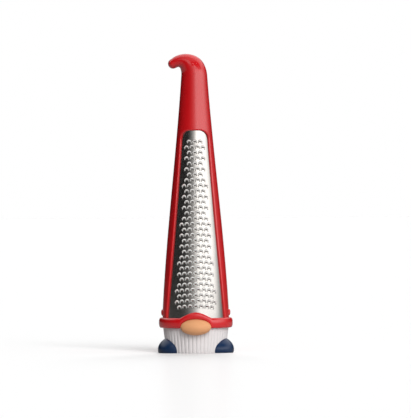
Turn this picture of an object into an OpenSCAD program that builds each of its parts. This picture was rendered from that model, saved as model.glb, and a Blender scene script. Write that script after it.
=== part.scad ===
// Standing cheese grater in the form of a folk gnome, in millimetres.
// A tall pointed hat, moulded in two half shells, holds a curved steel plate of punched teeth in a
// window in its front. The hat stands in a collar on a low ribbed cup, which catches what is grated,
// and lifts straight off it. A nose and two boots are pegged to the cup.
// The origin is on the ground on the axis of the cup, +Z is up, the front faces -Y and the tip of
// the hat bends towards -X.

/* [Cup] */
// Height of the cup up to its rim
cup_h = 21.3; // [18:0.1:40]
// How much narrower the cup is at its foot than at its rim, in radius
cup_taper = 2.7; // [0:0.1:4]
// Thickness of the cup's wall, measured from the tops of the ribs
cup_wall = 2; // [1.6:0.1:2.6]
// Thickness of the cup's floor
cup_floor = 1.8; // [1.2:0.1:4]
// Number of ribs round the cup
rib_count = 48; // [36:1:60]
// Depth of the grooves between the ribs
rib_depth = 0.6; // [0.2:0.1:0.9]

/* [Collar] */
// Height of the collar ring
collar_h = 8.6; // [6:0.1:14]
// How far the ring bulges out beyond the hat's foot
collar_bulge = 2.6; // [1.8:0.1:4]
// Gap between the collar's bore and the foot of the hat
collar_gap = 0.3; // [0.2:0.05:0.6]
// Rise of the ring where it arches over the nose
arch_rise = 4.9; // [2:0.1:7]
// Width of that arch
arch_w = 29; // [27:0.5:34]
// Thickness of the ledge that the hat stands on
ledge_t = 1; // [0.8:0.1:2]
// Depth of the sleeve that plugs into the cup
sleeve_h = 5; // [3:0.5:8]
// Thickness of the sleeve at its foot
sleeve_t = 0.85; // [0.8:0.05:1.5]

/* [Latch tongues] */
// Width of each tongue at the collar's sides
tongue_w = 7.6; // [5:0.1:10]
// Thickness of each tongue
tongue_t = 0.9; // [0.7:0.05:1.2]
// Height of each tongue above the collar ring
tongue_h = 7; // [6:0.1:12]
// Radius of the round button on each tongue
button_r = 2.7; // [1.5:0.1:3]
// How far the button stands out
button_h = 1.1; // [0.5:0.1:2]

/* [Hat] */
// Height of the hat from its foot to the crown, where the tip starts to bend
hat_h = 217; // [180:1:260]
// Outer radius at the foot
hat_foot_r = 28.8; // [28.2:0.1:30]
// Outer radius at the crown
hat_crown_r = 10.8; // [8:0.1:13]
// Thickness of the half shells
hat_wall = 2.3; // [2:0.1:3]
// Taper of the hat at its foot, as radius lost per height
foot_taper_share = 0.04; // [0.02:0.005:0.06]
// Taper of the hat at the crown
crown_taper_share = 0.066; // [0.03:0.005:0.09]

/* [Bent tip] */
// Inner radius of the bend
bend_r = 3.75; // [2:0.25:8]
// Angle that the tip turns through
bend_angle = 125; // [90:1:140]
// Radius of the rounded end
tip_r = 3.6; // [2.5:0.1:5]

/* [Window] */
// Height of the window's sill above the foot of the hat
sill_h = 6.3; // [5:0.1:10]
// Height of the window from its sill to its top
window_h = 160; // [120:1:170]
// Half of the angle that the window opens over at its sill
sill_angle = 62; // [45:0.5:64]
// Half of the angle that it opens over at its top
head_angle = 52; // [40:0.5:58]
// How much narrower that angle is halfway up
waist_angle = 4; // [0:0.5:6]
// Size of the rounded top corners round the hat
corner_w = 9; // [3:0.5:10]
// Size of the rounded top corners up the hat
corner_h = 7.6; // [3:0.1:12]
// Depth from the hat's surface to the plate
lip_t = 1.5; // [1.1:0.05:1.8]

/* [Grating plate] */
// Thickness of the steel
plate_t = 0.5; // [0.3:0.05:0.6]
// Width of the plate's border behind the window's edge
border_w = 3.6; // [2.6:0.1:4]
// Distance between two teeth in a row
tooth_pitch = 4.8; // [4.4:0.1:7]
// Distance between two rows
row_pitch = 4.64; // [4.3:0.02:7]
// Distance from the window's top to the first row
row_start = 9.8; // [8:0.1:20]
// Distance from the sill to the last row
row_end = 10.6; // [8:0.1:20]
// Width of the field of teeth at its first row
field_head_w = 13.8; // [9:0.1:18]
// Width of the field of teeth at its last row
field_foot_w = 36; // [20:0.1:38]
// Slope of each row's plane, which drops towards the sides of the plate
row_slope_share = 0.27; // [0:0.01:0.4]
// Width of one tooth
tooth_w = 3.9; // [2.5:0.1:4.1]
// Length of one tooth down the plate
tooth_l = 3.4; // [2.4:0.1:3.9]
// Height of a tooth above the plate
tooth_h = 1.3; // [0.7:0.05:1.6]

/* [Nose and boots] */
// Width of the nose
nose_w = 26; // [18:0.5:26]
// Height of the nose
nose_h = 13.7; // [8:0.1:15]
// Height of the nose's middle above the cup's rim
nose_rise = 0.9; // [0:0.1:2]
// Radius of each boot's dome
boot_r = 15; // [12:0.1:16]
// Height of each boot's dome
boot_h = 14.4; // [10:0.1:17]
// How far each boot's middle lies inside the edge of the cup's foot, sideways
boot_sink = 7.8; // [5:0.1:11]
// How far each boot's middle lies in front of the centre line
boot_forward = 4.8; // [0:0.1:8]

/* [Hidden] */

// How far a cutting shape runs past what it cuts
overrun = 1;
// Gap between pieces that are pushed or laid together
fit_gap = 0.1;
// Gap between the plate and the seat that it lies in
seat_gap = 0.05;
round_fn = 96;
pin_fn = 32;

// Heights of the main joints between the pieces
rim_z = cup_h;
ledge_z = rim_z + ledge_t;
hat_foot_z = ledge_z;
collar_top_z = rim_z + collar_h;
crown_z = hat_foot_z + hat_h;

collar_bore_r = hat_foot_r + collar_gap;
collar_out_r = hat_foot_r + collar_bulge;
// How far the cup's rim lies inside the collar's bore
rim_step = 1.3;
cup_rim_r = collar_bore_r - rim_step;
cup_foot_r = cup_rim_r - cup_taper;

// Radius at a height along the outside of the cup, over the ribs
function cup_r(z) = cup_foot_r + cup_taper * z / cup_h;
// The same along the outside of the sleeve, which lies inside the cup
function sleeve_r(z) = cup_r(z) - cup_wall - fit_gap;
// Inner radius of the sleeve and of the ledge over it
mouth_r = sleeve_r(rim_z - sleeve_h) - sleeve_t;

// Smooth curve between two values with a given change at each end
function ease(t, a, b, da, db) =
    (2 * t * t * t - 3 * t * t + 1) * a + (t * t * t - 2 * t * t + t) * da
    + (3 * t * t - 2 * t * t * t) * b + (t * t * t - t * t) * db;

// Outer radius of the hat at a height
function hat_r(z) = ease((z - hat_foot_z) / hat_h, hat_foot_r, hat_crown_r,
    -foot_taper_share * hat_h, -crown_taper_share * hat_h);

// Points along the hat's outline between two heights, moved in by a distance
hat_steps = 10;
function hat_line(inset, z_a, z_b, steps = hat_steps) =
    [for (i = [0:steps]) let (z = z_a + (z_b - z_a) * i / steps) [hat_r(z) - inset, z]];
function backwards(list) = [for (i = [len(list) - 1:-1:0]) list[i]];

// Fluted cup

// Each rib is a round bead from the foot to the rim, a little wider than its share of the round
bead_share = 0.58;
bead_fn = 12;
bead_end_h = 0.1;
function bead_r(r) = bead_share * 2 * PI * r / rib_count;

// One end of a bead, as a short disc that touches the cup's outline from inside
module bead_end(r, z) {
    translate([r - bead_r(r), 0, z]) cylinder(r = bead_r(r), h = bead_end_h, $fn = bead_fn);
}

module ribbed_cone() {
    cylinder(r1 = cup_foot_r - rib_depth, r2 = cup_rim_r - rib_depth, h = cup_h, $fn = 2 * rib_count);
    for (i = [0:rib_count - 1]) rotate([0, 0, 360 * i / rib_count]) hull() {
        bead_end(cup_foot_r, 0);
        bead_end(cup_rim_r, cup_h - bead_end_h);
    }
}

peg_r = 2;
// Pegs end this far short of the inside of the cup's wall
peg_short = 0.3;
nose_z = rim_z + nose_rise;
// The nose's pegs enter the cup this far below its rim, as a share of the sleeve
peg_drop_share = 0.6;
nose_peg_z = rim_z - sleeve_h * peg_drop_share;
// Distance of each of them from the nose's middle, as a share of its width
nose_peg_share = 0.2;
nose_peg_x = nose_w * nose_peg_share;
// Distance of each boot's middle from the centre line
boot_x = cup_foot_r - boot_sink;
// Height of a boot's peg, as a share of the boot's height
boot_peg_share = 0.4;
boot_peg_z = boot_h * boot_peg_share;

module nose_pegs(r) {
    for (x = [-nose_peg_x, nose_peg_x])
        translate([x, 0, nose_peg_z]) rotate([90, 0, 0])
            translate([0, 0, cup_r(nose_peg_z) - cup_wall * 2])
                cylinder(r = r, h = cup_wall * 3, $fn = pin_fn);
}

// Peg of one boot, pointing from the boot's middle to the axis of the cup; side is -1 or 1
module boot_peg(side, r) {
    rotate([0, 0, side * atan2(-boot_forward, boot_x)]) translate([0, 0, boot_peg_z])
        rotate([0, side * 90, 0])
            translate([0, 0, cup_r(boot_peg_z) - cup_wall * 2])
                cylinder(r = r, h = cup_wall * 3, $fn = pin_fn);
}

module beard_cup() {
    color("gainsboro") difference() {
        union() ribbed_cone();
        rotate_extrude($fn = round_fn) polygon([[0, cup_floor],
            [cup_r(cup_floor) - cup_wall, cup_floor],
            [cup_r(cup_h + overrun) - cup_wall, cup_h + overrun], [0, cup_h + overrun]]);
        nose_pegs(peg_r + fit_gap);
        for (side = [-1, 1]) boot_peg(side, peg_r + fit_gap);
    }
}

// Collar

arch_angle = asin(arch_w / 2 / collar_out_r);
arch_steps = 16;
round_steps = 8;
// Powers that shape the arch, over 1 for a narrower top, and the bulge, under 1 for a fuller one
arch_power_share = 1.2;
bulge_power_share = 0.8;
// Rise of the collar's top edge at an angle from the front
function arch(a) = abs(a) >= arch_angle ? 0
    : arch_rise * pow(cos(90 * sin(a) / sin(arch_angle)), arch_power_share);

// Section of the ring: a rounded outer side on a straight bore, with a flat foot
function ring_section(rise) = let (h = collar_h + rise, w = collar_out_r - collar_bore_r,
        flat = collar_gap)
    concat([[collar_bore_r, rim_z], [collar_bore_r + flat, rim_z]],
        [for (i = [1:round_steps - 1]) let (a = 180 * i / round_steps - 90)
            [collar_bore_r + flat + (w - flat) * pow(cos(a), bulge_power_share),
                rim_z + h / 2 + h / 2 * sign(sin(a)) * pow(abs(sin(a)), bulge_power_share)]],
        [[collar_bore_r + flat, rim_z + h], [collar_bore_r, rim_z + h]]);

// Angles of the ring's sections from the front: close together over the arch, wider apart behind it
rear_steps = 56;
ring_angles = concat(
    [for (j = [0:arch_steps - 1]) arch_angle * (2 * j / arch_steps - 1)],
    [for (j = [0:rear_steps - 1]) arch_angle + (360 - 2 * arch_angle) * j / rear_steps]);

// The whole ring, as a loft through its sections
module ring() {
    n = len(ring_section(0));
    m = len(ring_angles);
    polyhedron(points = [for (a = ring_angles) let (rise = a < arch_angle ? arch(a) : 0)
            each [for (p = ring_section(rise)) [p[0] * sin(a), -p[0] * cos(a), p[1]]]],
        faces = [for (j = [0:m - 1], i = [0:n - 1])
            let (a = j * n + i, b = j * n + (i + 1) % n, c = (j + 1) % m * n + (i + 1) % n,
                d = (j + 1) % m * n + i)
            each [[a, b, c], [a, c, d]]]);
}

// Steps over half of the nose's outline, and a point of that outline as seen from the front
nose_steps = 20;
function nose_point(i, grow = 0) = let (a = 180 * i / nose_steps)
    [(nose_w / 2 + grow) * cos(a), (nose_h / 2 + grow) * sin(a)];

// The whole outline as a face
module nose_face(grow = 0) {
    polygon([for (i = [0:2 * nose_steps - 1]) nose_point(i, grow)]);
}

// Thickness of the collar left behind the nose
niche_wall = 0.7;
niche_r = collar_bore_r + niche_wall;
// Distance from the axis to the middle of the nose
nose_y = collar_bore_r - niche_wall;

module nose_niche() {
    difference() {
        translate([0, 0, nose_z]) rotate([90, 0, 0]) linear_extrude(height = collar_out_r + overrun)
            nose_face(fit_gap);
        translate([0, 0, rim_z - overrun]) cylinder(r = niche_r, h = 2 * collar_h, $fn = round_fn);
    }
}

// Depth of the tongues' outer faces below the hat's foot radius
tongue_inset = 0.4;
tongue_face_r = hat_foot_r - tongue_inset;
tongue_back_x = tongue_face_r - tongue_t;
tongue_top_z = collar_top_z + tongue_h;
// Top of the root that ties a tongue to the ring
root_top_z = collar_top_z - collar_h / 4;
button_z = tongue_top_z - button_r;

// Spring tongue with its round button; side is -1 or 1
module tongue(side) {
    cap_x = tongue_face_r + button_h;
    cap_r = (button_r * button_r + button_h * button_h) / (2 * button_h);
    translate([0, 0, rim_z]) linear_extrude(height = tongue_top_z - rim_z) intersection() {
        circle(r = tongue_face_r, $fn = round_fn);
        translate([side * (tongue_back_x + tongue_t), 0]) square([2 * tongue_t, tongue_w],
            center = true);
    }
    // the root of the tongue joins the ring over the gap
    translate([side * (tongue_back_x + collar_bore_r + fit_gap) / 2, 0, (rim_z + root_top_z) / 2])
        cube([collar_bore_r + fit_gap - tongue_back_x, tongue_w, root_top_z - rim_z], center = true);
    intersection() {
        translate([side * (cap_x - cap_r), 0, button_z]) sphere(r = cap_r, $fn = round_fn);
        translate([side * cap_x, 0, button_z])
            cube([2 * (button_h + tongue_t / 2), 2 * button_r, 2 * button_r], center = true);
    }
}

module brim_collar() {
    color("crimson") difference() {
        union() {
            ring();
            rotate_extrude($fn = round_fn) polygon([
                [mouth_r, rim_z - sleeve_h],
                [sleeve_r(rim_z - sleeve_h), rim_z - sleeve_h],
                [sleeve_r(rim_z), rim_z], [collar_bore_r + fit_gap, rim_z],
                [collar_bore_r + fit_gap, ledge_z], [mouth_r, ledge_z]]);
            for (side = [-1, 1]) tongue(side);
        }
        nose_niche();
    }
}

// Nose

// What the nose leans on: the cup's ribs and the niche in the collar
module nose_back() {
    rotate_extrude($fn = round_fn) polygon([[0, -overrun], [cup_r(-overrun) + seat_gap, -overrun],
        [cup_r(rim_z) + seat_gap, rim_z - seat_gap], [niche_r + seat_gap, rim_z - seat_gap],
        [niche_r + seat_gap, 2 * collar_top_z], [0, 2 * collar_top_z]]);
}

module nose() {
    color("sandybrown") union() {
        difference() {
            union() {
                intersection() {
                    translate([0, -nose_y, nose_z]) rotate([0, 90, 0]) rotate([0, 0, 90])
                        rotate_extrude($fn = round_fn)
                            polygon([for (i = [0:nose_steps]) let (p = nose_point(i)) [p[1], p[0]]]);
                    translate([-nose_w, -nose_y - nose_h, nose_z - nose_h])
                        cube([2 * nose_w, nose_h, 2 * nose_h]);
                }
                translate([0, -nose_y, nose_z]) rotate([-90, 0, 0])
                    linear_extrude(height = nose_h / 2) nose_face();
            }
            nose_back();
        }
        intersection() {
            nose_pegs(peg_r);
            rotate_extrude($fn = round_fn) polygon([
                [cup_r(0) - cup_wall + peg_short, 0], [cup_r(0) + overrun, 0],
                [cup_r(cup_h) + overrun, cup_h], [cup_r(cup_h) - cup_wall + peg_short, cup_h]]);
        }
    }
}

// Boots

boot_steps = 12;
// Height of the widest part of the boot, and the bevel along its sole
boot_waist_share = 0.2;
boot_waist_z = boot_h * boot_waist_share;
sole_bevel = 0.8;

// Dome of one boot above its sole; side is -1 or 1
module boot_dome(side) {
    translate([side * boot_x, -boot_forward, 0]) rotate_extrude($fn = round_fn)
        polygon(concat([[0, 0], [boot_r - sole_bevel, 0], [boot_r - sole_bevel / 4, sole_bevel]],
            [for (i = [0:boot_steps]) let (a = 90 * i / boot_steps)
                [boot_r * cos(a), boot_waist_z + (boot_h - boot_waist_z) * sin(a)]]));
}

module boot(side) {
    color("midnightblue") union() {
        difference() {
            boot_dome(side);
            rotate_extrude($fn = round_fn) polygon([[0, -overrun],
                [cup_r(-overrun) + seat_gap, -overrun], [cup_r(cup_h) + seat_gap, cup_h],
                [0, cup_h]]);
            translate([-side * cup_foot_r * 2, 0, 0])
                cube([4 * cup_foot_r, 4 * cup_foot_r, 2 * boot_h], center = true);
        }
        intersection() {
            boot_peg(side, peg_r);
            rotate_extrude($fn = round_fn) polygon([
                [cup_r(0) - cup_wall + peg_short, 0], [cup_r(0) + overrun, 0],
                [cup_r(cup_h) + overrun, cup_h], [cup_r(cup_h) - cup_wall + peg_short, cup_h]]);
        }
    }
}
module boot_left() { boot(-1); }
module boot_right() { boot(1); }

// Window of the hat

sill_z = hat_foot_z + sill_h;
head_z = sill_z + window_h;
corner_z = head_z - corner_h;
side_steps = 6;
corner_steps = 5;
// Radius of the seat that the plate lies against
function seat_r(z) = hat_r(z) - lip_t;
// Angle for a length round the seat
function seat_angle(length, z) = length / seat_r(z) * 180 / PI;
function window_angle(z) = let (t = (z - sill_z) / (corner_z - sill_z))
    sill_angle + (head_angle - sill_angle) * t - 4 * waist_angle * t * (1 - t);

// Right half of the window's outline, from the sill up: angle, height, and growth each way
function window_side() = concat([[sill_angle, sill_z, 1, -1]],
    [for (i = [1:side_steps - 1]) let (z = sill_z + (corner_z - sill_z) * i / side_steps)
        [window_angle(z), z, 1, 0]],
    [for (i = [0:corner_steps]) let (a = 90 * i / corner_steps)
        [head_angle - seat_angle(corner_w, corner_z) * (1 - cos(a)),
            corner_z + corner_h * sin(a), cos(a), sin(a)]]);
function window_outline() = concat(window_side(),
    [for (p = backwards(window_side())) [-p[0], p[1], -p[2], p[3]]]);

// Wedge of space seen from the axis through the window's outline, made larger all round by grow
module window_wedge(grow) {
    outline = [for (p = window_outline()) [p[0] + seat_angle(grow * p[2], p[1]), p[1] + grow * p[3]]];
    n = len(outline);
    near = hat_crown_r / 4;
    far = 3 * hat_foot_r;
    mid_z = (sill_z + corner_z) / 2;
    points = concat([for (r = [near, far], p = outline) [r * sin(p[0]), -r * cos(p[0]), p[1]]],
        [[0, -near, mid_z], [0, -far, mid_z]]);
    polyhedron(points = points, faces = [for (i = [0:n - 1]) let (j = (i + 1) % n)
        each [[j, i, n + i], [j, n + i, n + j], [i, j, 2 * n], [n + j, n + i, 2 * n + 1]]]);
}

// Hat

// Extra depth of the latch recesses over the tongues' backs, and over their tops and sides
recess_gap = 0.3;

// Solid of revolution between two insets from the hat's outline; front or rear half
module hat_band(inset_a, inset_b, z_a, z_b, front, steps = hat_steps, fn = round_fn) {
    rotate([0, 0, front ? 180 : 0]) rotate_extrude(angle = 180, $fn = fn)
        polygon(concat(hat_line(inset_a, z_a, z_b, steps), backwards(hat_line(inset_b, z_a, z_b, steps))));
}

// Half shell of the hat up to the crown, closed at the top
module half_shell(front) {
    top = crown_z - hat_wall;
    rotate([0, 0, front ? 180 : 0]) rotate_extrude(angle = 180, $fn = round_fn)
        polygon(concat(hat_line(0, hat_foot_z, crown_z),
            [[0, crown_z], [0, top]], backwards(hat_line(hat_wall, hat_foot_z, top))));
}

// Space for the latch tongues in the sides of the hat's foot
module latch_recesses() {
    for (side = [-1, 1])
        translate([side * (tongue_back_x - recess_gap + hat_wall), 0,
            (hat_foot_z + tongue_top_z) / 2])
            cube([2 * hat_wall, tongue_w + 2 * recess_gap,
                tongue_top_z - hat_foot_z + 2 * recess_gap], center = true);
}

bend_steps = 10;
half_points = 12;
// Rings of the rounded end, up to the angle of its last ring, inside which the end is flat
cap_steps = 3;
cap_angle = 77;
bend_pivot = hat_crown_r + bend_r;
// The tip starts this far inside the crown's edge, and is rooted this deep in the closed crown
tip_step = 0.15;
tip_root = 1;
// Radius of the tip's section along the bend, from 0 at the crown to 1 at its end
bend_power_share = 1.25;
function bend_radius(t) = tip_r + (hat_crown_r - tip_step - tip_r) * pow(1 - t, bend_power_share);
// Half ring of the tip's section, at an angle round the bend
function bend_ring(angle, r, centre, shift) =
    [for (i = [0:half_points]) let (a = 180 * i / half_points,
            out = centre + r * cos(a))
        [out * cos(angle) - bend_pivot - shift * sin(angle), r * sin(a),
            crown_z + out * sin(angle) + shift * cos(angle)]];

// Rear half of the bent tip, as a loft through half rings, closed along the plane between the halves
module half_tip() {
    rings = concat(
        [bend_ring(0, bend_radius(0), bend_pivot, -tip_root)],
        [for (j = [0:bend_steps]) let (t = j / bend_steps, r = bend_radius(t))
            bend_ring(bend_angle * t, r, bend_r + r + tip_step * (1 - t), 0)],
        [for (j = [1:cap_steps]) let (a = cap_angle * j / cap_steps)
            bend_ring(bend_angle, tip_r * cos(a), bend_r + tip_r, tip_r * sin(a))]);
    n = half_points + 1;
    m = len(rings);
    polyhedron(points = [for (ring = rings) each ring], faces = concat(
        [[for (i = [0:n - 1]) i], [for (i = [n - 1:-1:0]) (m - 1) * n + i]],
        [for (j = [0:m - 2], i = [0:n - 1]) let (a = j * n + i, b = j * n + (i + 1) % n)
            each [[a, a + n, b + n], [a, b + n, b]]]));
}

// Dowels that line the two halves up, at shares of the hat's height
dowel_z_shares = [0.17, 0.5, 0.83];
boss_r = 2.4;
boss_l = 4.5;
dowel_r = 1.2;
dowel_l = 3.5;
// How far each boss is let into the wall that carries it
boss_sink = 0.8;

module dowel_places() {
    for (share = dowel_z_shares, side = [-1, 1]) let (z = hat_foot_z + hat_h * share)
        translate([side * (hat_r(z) - hat_wall - boss_r + boss_sink), 0, z]) rotate([-90, 0, 0])
            children();
}

// Studs that hold the plate, each a shank through the plate with a rivet head behind it
stud_r = 0.9;
stud_head_r = 1.5;
stud_head_t = 0.5;
stud_count = 5;
stud_root = 0.5;
// Gap between the plate and the studs' flat heads, which the plate's curve takes up
stud_gap = 0.15;

// Places of the studs round the plate's border, as angle and height
function stud_places() = concat([[0, head_z + border_w / 2]],
    [for (i = [0:stud_count - 1], side = [-1, 1])
        let (z = sill_z + (corner_z - sill_z) * (i + 1 / 2) / stud_count)
        [side * (window_angle(z) + seat_angle(border_w / 2, z)), z]]);

// Rod pointing to the axis at a stud's place, from an inset below the hat's surface
module stud_rod(place, inset, length, r, fn = pin_fn) {
    rotate([0, 0, place[0]]) translate([0, -hat_r(place[1]) + inset, place[1]])
        rotate([-90, 0, 0]) cylinder(r = r, h = length, $fn = fn);
}

plate_depth = seat_gap + plate_t;
plate_z0 = sill_z - border_w;
plate_z1 = head_z + border_w;
plate_steps = 5;
plate_fn = 36;
stud_hole_fn = 12;

module hat_front() {
    color("crimson") union() {
        difference() {
            half_shell(true);
            window_wedge(0);
            intersection() {
                hat_band(lip_t, hat_wall + overrun, plate_z0 - overrun, plate_z1 + overrun, true,
                    plate_steps);
                window_wedge(border_w + fit_gap);
            }
            latch_recesses();
        }
        mirror([0, 1, 0]) half_tip();
        for (place = stud_places()) {
            stud_rod(place, lip_t - stud_root, stud_root + plate_depth + stud_gap + stud_head_t / 2,
                stud_r);
            stud_rod(place, lip_t + plate_depth + stud_gap, stud_head_t, stud_head_r);
        }
        dowel_places() {
            translate([0, 0, -boss_l]) cylinder(r = boss_r, h = boss_l, $fn = pin_fn);
            translate([0, 0, -overrun]) cylinder(r = dowel_r, h = overrun + dowel_l, $fn = pin_fn);
        }
    }
}

module hat_rear() {
    color("crimson") union() {
        difference() {
            union() {
                half_shell(false);
                dowel_places() cylinder(r = boss_r, h = boss_l, $fn = pin_fn);
            }
            latch_recesses();
            dowel_places() translate([0, 0, -overrun])
                cylinder(r = dowel_r + fit_gap, h = overrun + dowel_l + fit_gap, $fn = pin_fn);
        }
        half_tip();
    }
}

// Grating plate

row_count = floor((window_h - row_start - row_end) / row_pitch) + 1;
function row_z(k) = head_z - row_start - k * row_pitch;
// Teeth in a row: as many as its field holds, odd and even in turn so that the rows are staggered
function row_teeth(k) = let (w = field_head_w + (field_foot_w - field_head_w) * k / (row_count - 1),
    most = floor(w / tooth_pitch) + 1) most - (most + k + 1) % 2;

// Half widths of a tooth's foot, as shares of its width, from its mouth to its top, and the places
// of those widths along it, as shares of its length
foot_width_shares = [0.5, 0.5, 0.27];
foot_length_shares = [-0.5, 0.12, 0.5];
// The same for its crest
crest_width_shares = [0.25, 0.18];
crest_length_shares = [-0.2, 0.16];
// The same for the hollow under it: at the back of the plate, and at its top
hollow_width_shares = [0.3, 0.22];
hollow_length_shares = [-0.46, 0.24];
roof_width_shares = [0.2, 0.14];
roof_length_shares = [-0.46, 0.12];
roof_share = 0.68;

// Level outline across a tooth at a height, mirrored about its middle
function level(widths, lengths, z) = [for (side = [-1, 1], i = [0:len(widths) - 1])
    [side * widths[i] * tooth_w, lengths[i] * tooth_l, z]];

// Smallest solid with flat faces round a list of points
module wrap(points) {
    hull() polyhedron(points = points, faces = [for (i = [0:len(points) - 3]) [i, i + 1, i + 2]]);
}

// Hood of a tooth before it is hollowed: an arched foot, a smaller crest and a sloping mouth
module hood() {
    wrap(concat(level(foot_width_shares, foot_length_shares, -plate_t / 2),
        level(crest_width_shares, crest_length_shares, tooth_h)));
}

// Hollow under the hood, from behind the plate up to its roof; it breaks out through the mouth
module hollow() {
    wrap(concat(level(hollow_width_shares, hollow_length_shares, -2 * plate_t),
        level(roof_width_shares, roof_length_shares, tooth_h * roof_share)));
}

// Puts a tooth in its place on the plate, with its opening down and its crest outwards
module tooth_places() {
    for (k = [0:row_count - 1], i = [0:row_teeth(k) - 1]) {
        z = row_z(k);
        a = seat_angle((i - (row_teeth(k) - 1) / 2) * tooth_pitch, z);
        drop = row_slope_share * seat_r(z) * (1 - cos(a));
        rotate([0, 0, a]) translate([0, -seat_r(z - drop) + seat_gap, z - drop])
            rotate([90, 0, 0]) rotate([0, 0, -atan(row_slope_share * sin(a))]) children();
    }
}

module grater_plate() {
    color("silver") difference() {
        union() {
            intersection() {
                hat_band(lip_t + seat_gap, lip_t + plate_depth, plate_z0 - overrun,
                    plate_z1 + overrun, true, plate_steps, plate_fn);
                window_wedge(border_w);
            }
            tooth_places() hood();
        }
        tooth_places() hollow();
        for (place = stud_places())
            stud_rod(place, lip_t - plate_t, 3 * plate_t, stud_r + fit_gap, stud_hole_fn);
    }
}

beard_cup();
brim_collar();
nose();
boot_left();
boot_right();
hat_front();
hat_rear();
grater_plate();
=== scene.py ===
# Look of the standing cheese grater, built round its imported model.
# The origin is on the ground under the cup's axis, +Z is up and the front faces -Y.
# Lengths are in millimetres where no comment says metres, and every mesh is made in metres.
# Angles are in degrees.
import math

import bmesh
import bpy
from mathutils import Matrix, Vector


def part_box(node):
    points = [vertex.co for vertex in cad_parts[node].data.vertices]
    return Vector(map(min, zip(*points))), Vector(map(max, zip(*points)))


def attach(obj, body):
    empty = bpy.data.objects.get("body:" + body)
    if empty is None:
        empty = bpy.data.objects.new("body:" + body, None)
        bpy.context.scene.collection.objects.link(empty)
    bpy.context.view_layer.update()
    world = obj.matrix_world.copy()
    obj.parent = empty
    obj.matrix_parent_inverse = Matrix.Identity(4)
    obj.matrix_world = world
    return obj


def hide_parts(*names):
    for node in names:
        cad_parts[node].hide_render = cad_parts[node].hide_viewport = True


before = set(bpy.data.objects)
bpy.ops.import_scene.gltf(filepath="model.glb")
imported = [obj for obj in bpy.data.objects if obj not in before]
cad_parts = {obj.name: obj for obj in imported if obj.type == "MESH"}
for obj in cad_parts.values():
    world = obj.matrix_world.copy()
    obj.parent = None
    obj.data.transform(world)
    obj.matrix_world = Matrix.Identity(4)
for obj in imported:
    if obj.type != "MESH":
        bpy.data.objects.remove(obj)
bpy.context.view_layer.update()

MM = 0.001


def node_box(name):
    """Lowest and highest corner of a CAD node, in millimetres."""
    low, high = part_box(name)
    return low / MM, high / MM


# Sizes that the frame gives
CUP_HIGH = node_box("beard_cup")[1]
HAT_LOW, HAT_HIGH = node_box("hat_rear")
RIM_Z = CUP_HIGH.z
CUP_RIM_R = CUP_HIGH.x
FOOT_Z = HAT_LOW.z
FOOT_R = HAT_HIGH.y

# Gaps between pieces
SEAT_GAP = 0.05
FIT_GAP = 0.1
COLLAR_GAP = 0.3
RECESS_GAP = 0.3

# Cup
CUP_FOOT_R = 25.1
CUP_WALL = 2.0
CUP_FLOOR = 1.8
CUP_BEVEL = 0.5
CUP_FILLET = 0.8
CUP_LIP_W, CUP_LIP_H = 0.3, 0.4
RIB_COUNT = 48
RIB_DEPTH = 0.6
RIB_POWER = 3
# Height of the points halfway up the inner wall, and radius of those round the floor's middle
CUP_MIDDLE_Z = 8.0
CUP_HUB_R = 5.0

# Collar
COLLAR_H = 8.6
COLLAR_BULGE = 2.6
ARCH_RISE = 4.9
ARCH_W = 29.0
ARCH_POWER = 1.2
# How far the fine steps of the arch reach past it, to each side
ARCH_MARGIN = 2.0
BEAD_POWER = 0.8
MOUTH_R = 24.2
SLEEVE_H = 5.0
BORE_R = FOOT_R + COLLAR_GAP
COLLAR_R = FOOT_R + COLLAR_BULGE
ARCH_ANGLE = math.degrees(math.asin(ARCH_W / 2 / COLLAR_R))

# Latch tongues at the sides of the collar
TONGUE_W = 7.6
TONGUE_T = 0.9
TONGUE_CORNER = 2.0
TONGUE_BEVEL = 0.15
TONGUE_LOW_Z = RIM_Z + COLLAR_GAP
TONGUE_TOP_Z = RIM_Z + COLLAR_H + 7.0
TONGUE_FACE_R = FOOT_R - 0.4
BUTTON_R = 2.7
BUTTON_H = 1.1

# Hat
HAT_H = 217.0
CROWN_R = 10.8
CROWN_Z = FOOT_Z + HAT_H
HAT_WALL = 2.3
FOOT_TAPER = 0.04
CROWN_TAPER = 0.066
BEND_Z = CROWN_Z - 6.0
# Rings of the bent tip: across and above the crown, on the outside and the inside of the bend
HOOK = [(10.8, -1.5, -11.0, -3.2), (9.6, 3.0, -11.05, -0.8), (7.2, 7.9, -11.5, 1.4),
        (3.4, 11.6, -12.1, 2.7), (-1.6, 13.9, -12.9, 3.4), (-7.0, 14.7, -13.8, 3.45),
        (-12.4, 14.0, -14.8, 3.1), (-16.5, 12.4, -15.6, 2.75), (-19.6, 10.3, -16.4, 2.4)]
# Height below the bend at which the curve through HOOK takes its first direction
HOOK_LEAD = 4.0

# Window
SILL_Z = FOOT_Z + 6.3
WINDOW_H = 160.0
HEAD_Z = SILL_Z + WINDOW_H
SILL_ANGLE = 62.0
HEAD_ANGLE = 52.0
WAIST_ANGLE = 4.0
CORNER_W = 9.0
CORNER_H = 7.6
CORNER_Z = HEAD_Z - CORNER_H
LIP_T = 1.5
EDGE_W = 1.2
EDGE_T = 0.8

# Grating plate
PLATE_T = 0.4
BORDER_W = 3.6
PLATE_LOW = SILL_Z - BORDER_W
PLATE_HIGH = HEAD_Z + BORDER_W
TOOTH_PITCH = 4.8
ROW_PITCH = 4.64
ROW_START = 9.4
ROW_END = 11.0
ROW_COUNT = int((WINDOW_H - ROW_START - ROW_END) / ROW_PITCH) + 1
FIELD_HEAD_W = 13.8
FIELD_FOOT_W = 36.0
ROW_SLOPE = 0.27

# Teeth
TOOTH_W = 4.1
TOOTH_L = 3.9
TOOTH_H = 1.35
HOLE_W = 1.05
HOLE_L = 0.55
HOLE_PLACE = -0.3
THROAT_DEPTH = 1.3
# Height above the sheet from which the faces of a tooth get the pale steel of the painted highlight
TOOTH_FOOT = 0.25
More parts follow.
